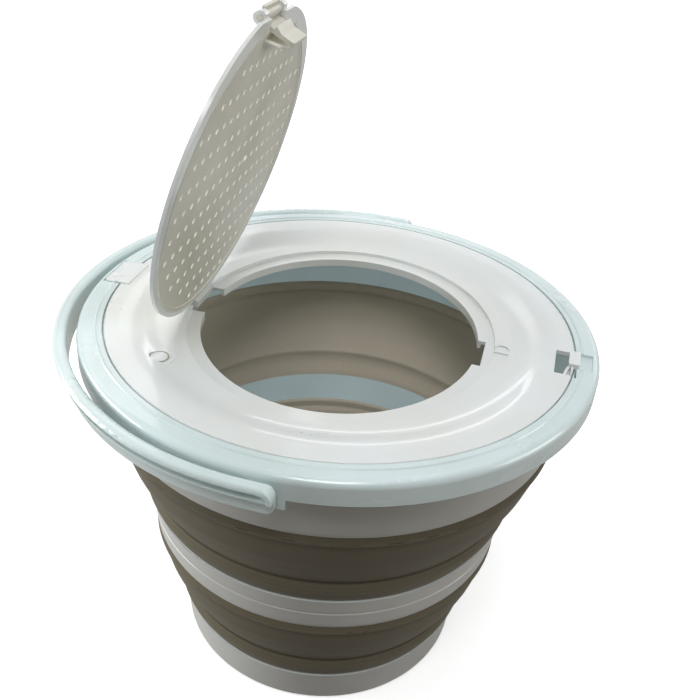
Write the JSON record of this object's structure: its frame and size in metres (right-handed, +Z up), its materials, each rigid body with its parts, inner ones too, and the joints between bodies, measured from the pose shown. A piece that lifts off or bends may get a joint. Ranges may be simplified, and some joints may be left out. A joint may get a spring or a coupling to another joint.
{
  "type": "collapsible bait bucket",
  "caption": "Round collapsible bait bucket with soft folding walls, rigid rings, a bail handle, and a dished lid with an open oval perforated hatch, latch lever, side catch and hose port.",
  "frame": {"origin": "centre of the base underside, at the level of the floor the bucket stands on", "axes": "+Z up through the bucket; +X towards the lid catch and the free end of the hatch; the handle pivots lie on the Y axis"},
  "size_m": [0.3221, 0.3292, 0.4088],
  "materials": {
    "grey_plastic": "satin",
    "taupe_elastomer": "matte",
    "rim_plastic": "satin gloss",
    "lid_plastic": "satin gloss"
  },
  "bodies": {
    "base": {"base_cup": "grey_plastic", "lower_band": "taupe_elastomer"},
    "middle": {"middle_ring": "grey_plastic", "upper_band": "taupe_elastomer"},
    "rim": {"upper_ring": "grey_plastic", "rim_collar": "rim_plastic"},
    "handle": {"handle": "rim_plastic"},
    "lid": {"lid": "lid_plastic", "port_grommet": "taupe_elastomer", "hatch_hinge_pin": "lid_plastic"},
    "catch": {"lid_catch": "lid_plastic"},
    "plug": {"hose_plug": "lid_plastic"},
    "hatch": {"hatch_frame": "lid_plastic", "hatch_screen": "lid_plastic"},
    "latch": {"hatch_latch": "lid_plastic"}
  },
  "joints": [
    {"name": "lower_collapse", "type": "slide", "parent": "base", "child": "middle", "axis": [0, 0, 1], "range_m": [-0.085, 0], "deforming": ["lower_band"]},
    {"name": "upper_collapse", "type": "slide", "parent": "middle", "child": "rim", "axis": [0, 0, 1], "range_m": [-0.09, 0], "deforming": ["upper_band"]},
    {"name": "handle_swing", "type": "hinge", "parent": "rim", "child": "handle", "pos_m": [0, 0, 0.225], "axis": [0, 1, 0], "range_deg": [0, 38]},
    {"name": "lid_lift", "type": "slide", "parent": "rim", "child": "lid", "axis": [0, 0, 1], "range_m": [0, 0.03]},
    {"name": "hatch_open", "type": "hinge", "parent": "lid", "child": "hatch", "pos_m": [-0.0922, 0, 0.2276], "axis": [0, -1, 0], "range_deg": [-74.9, 10]},
    {"name": "latch_turn", "type": "hinge", "parent": "hatch", "child": "latch", "pos_m": [-0.04975, 0, 0.40372], "axis": [0, -1, 0], "range_deg": [0, 12]},
    {"name": "catch_press", "type": "slide", "parent": "lid", "child": "catch", "axis": [-1, 0, 0], "range_m": [0, 0.0025]},
    {"name": "plug_pull", "type": "slide", "parent": "lid", "child": "plug", "axis": [0, 0, 1], "range_m": [0, 0.02]}
  ]
}
